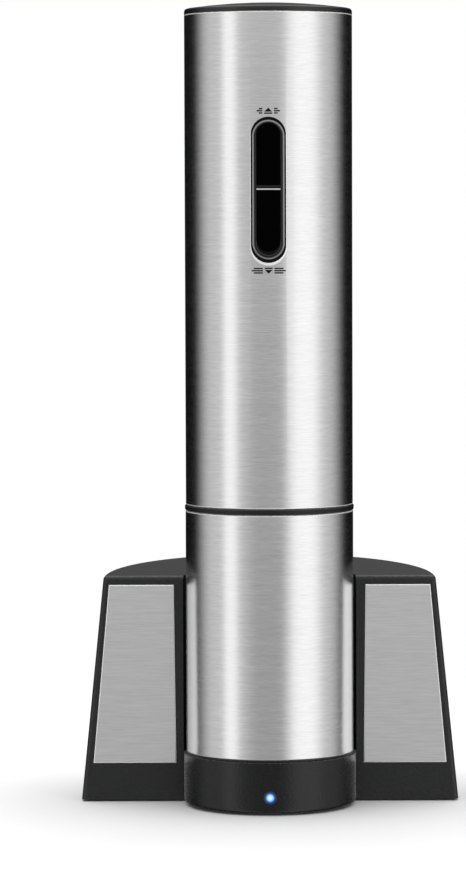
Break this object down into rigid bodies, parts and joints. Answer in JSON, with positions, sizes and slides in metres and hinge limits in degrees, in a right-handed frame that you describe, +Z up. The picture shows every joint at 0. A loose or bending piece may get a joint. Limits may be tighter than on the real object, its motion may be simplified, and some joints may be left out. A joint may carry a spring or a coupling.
{
  "type": "electric wine opener",
  "caption": "Cordless corkscrew in a brushed steel tube, standing in a black charging base with two steel-faced wings.",
  "frame": {"origin": "on the opener's axis, at the surface that the base stands on", "axes": "+Z up along the opener's axis, -Y towards the side with the two buttons and the lamp"},
  "size_m": [0.1206, 0.0927, 0.254],
  "materials": {
    "black_plastic": "fine satin texture",
    "gloss_black": "polished",
    "brushed_steel": "brushed around the tube",
    "plain_steel": "plain",
    "dark_steel": "dark non-stick coat",
    "rubber": "matt",
    "board": "solder mask",
    "brass": "plain",
    "clear_lens": "clear",
    "blue_lamp": "lit",
    "frame_plastic": "moulded",
    "pale_plastic": "moulded",
    "cell_wrap": "shrink wrap over a metal can",
    "nickel": "plain",
    "magnet": "sintered",
    "copper": "enamelled windings",
    "lead_cover": "soft",
    "component": "moulded"
  },
  "bodies": {
    "base": {"base_shell": "black_plastic", "base_collar": "black_plastic", "base_plate": "black_plastic", "base_screws": "plain_steel", "rubber_feet": "rubber", "right_panel": "brushed_steel", "left_panel": "brushed_steel", "charge_board": "board", "charge_studs": "brass", "status_led": "blue_lamp", "led_lens": "clear_lens", "jack_body": "component", "jack_pin": "nickel"},
    "opener": {"skirt_sleeve": "brushed_steel", "seam_ring": "black_plastic", "upper_sleeve": "brushed_steel", "top_cap": "black_plastic", "neck_guide": "black_plastic", "contact_rings": "brass", "output_bush": "brass", "gearbox_cover": "pale_plastic", "ring_gear": "pale_plastic", "gearbox_screws": "plain_steel", "motor_mount": "plain_steel", "motor_can": "plain_steel", "motor_magnets": "magnet", "motor_end_cap": "frame_plastic", "motor_leads": "lead_cover", "chassis_front": "frame_plastic", "chassis_rear": "frame_plastic", "chassis_screws": "plain_steel", "battery_cells": "cell_wrap", "cell_links": "nickel", "control_board": "board", "power_parts": "component", "switch_bodies": "component", "button_bezel": "gloss_black", "clamp_spring": "plain_steel"},
    "motor_rotor": {"motor_shaft": "plain_steel", "armature": "copper", "first_sun": "brass"},
    "first_stage": {"first_carrier": "pale_plastic", "second_sun": "pale_plastic"},
    "worm_drive": {"output_carrier": "plain_steel", "chuck_pin": "plain_steel", "worm_chuck": "plain_steel", "worm": "dark_steel"},
    "clamp": {"cork_clamp": "pale_plastic"},
    "upper_key": {"upper_button": "gloss_black", "upper_plunger": "pale_plastic"},
    "lower_key": {"lower_button": "gloss_black", "lower_plunger": "pale_plastic"},
    "first_planet_1": {"first_planet_1": "pale_plastic"},
    "output_planet_1": {"output_planet_1": "pale_plastic"},
    "first_planet_2": {"first_planet_2": "pale_plastic"},
    "output_planet_2": {"output_planet_2": "pale_plastic"},
    "first_planet_3": {"first_planet_3": "pale_plastic"},
    "output_planet_3": {"output_planet_3": "pale_plastic"}
  },
  "joints": [
    {"name": "opener_lift", "type": "slide", "parent": "base", "child": "opener", "axis": [0, 0, 1], "range_m": [0, 0.12]},
    {"name": "motor_spin", "type": "hinge", "parent": "opener", "child": "motor_rotor", "pos_m": [0, 0, 0], "axis": [0, 0, 1], "continuous": true},
    {"name": "first_stage_spin", "type": "hinge", "parent": "opener", "child": "first_stage", "pos_m": [0, 0, 0], "axis": [0, 0, 1], "continuous": true},
    {"name": "worm_spin", "type": "hinge", "parent": "opener", "child": "worm_drive", "pos_m": [0, 0, 0], "axis": [0, 0, 1], "continuous": true},
    {"name": "first_planet_1_spin", "type": "hinge", "parent": "first_stage", "child": "first_planet_1", "pos_m": [0.009, 0, 0], "axis": [0, 0, 1], "continuous": true},
    {"name": "first_planet_2_spin", "type": "hinge", "parent": "first_stage", "child": "first_planet_2", "pos_m": [-0.0045, 0.00779, 0], "axis": [0, 0, 1], "continuous": true},
    {"name": "first_planet_3_spin", "type": "hinge", "parent": "first_stage", "child": "first_planet_3", "pos_m": [-0.0045, -0.00779, 0], "axis": [0, 0, 1], "continuous": true},
    {"name": "output_planet_1_spin", "type": "hinge", "parent": "worm_drive", "child": "output_planet_1", "pos_m": [0.009, 0, 0], "axis": [0, 0, 1], "continuous": true},
    {"name": "output_planet_2_spin", "type": "hinge", "parent": "worm_drive", "child": "output_planet_2", "pos_m": [-0.0045, 0.00779, 0], "axis": [0, 0, 1], "continuous": true},
    {"name": "output_planet_3_spin", "type": "hinge", "parent": "worm_drive", "child": "output_planet_3", "pos_m": [-0.0045, -0.00779, 0], "axis": [0, 0, 1], "continuous": true},
    {"name": "clamp_slide", "type": "slide", "parent": "opener", "child": "clamp", "axis": [0, 0, 1], "range_m": [0, 0.025], "stiffness_N_per_m": 60, "springref_m": -0.02, "deforming": ["clamp_spring"]},
    {"name": "upper_press", "type": "slide", "parent": "opener", "child": "upper_key", "axis": [0, 1, 0], "range_m": [0, 0.0008], "stiffness_N_per_m": 600, "springref_m": -0.0004},
    {"name": "lower_press", "type": "slide", "parent": "opener", "child": "lower_key", "axis": [0, 1, 0], "range_m": [0, 0.0008], "stiffness_N_per_m": 600, "springref_m": -0.0004}
  ],
  "couplings": [
    {"joint": "first_stage_spin", "follows": "motor_spin", "ratio": 0.2},
    {"joint": "worm_spin", "follows": "motor_spin", "ratio": 0.04},
    {"joint": "first_planet_1_spin", "follows": "motor_spin", "ratio": -0.53333},
    {"joint": "first_planet_2_spin", "follows": "motor_spin", "ratio": -0.53333},
    {"joint": "first_planet_3_spin", "follows": "motor_spin", "ratio": -0.53333},
    {"joint": "output_planet_1_spin", "follows": "motor_spin", "ratio": -0.10667},
    {"joint": "output_planet_2_spin", "follows": "motor_spin", "ratio": -0.10667},
    {"joint": "output_planet_3_spin", "follows": "motor_spin", "ratio": -0.10667}
  ]
}
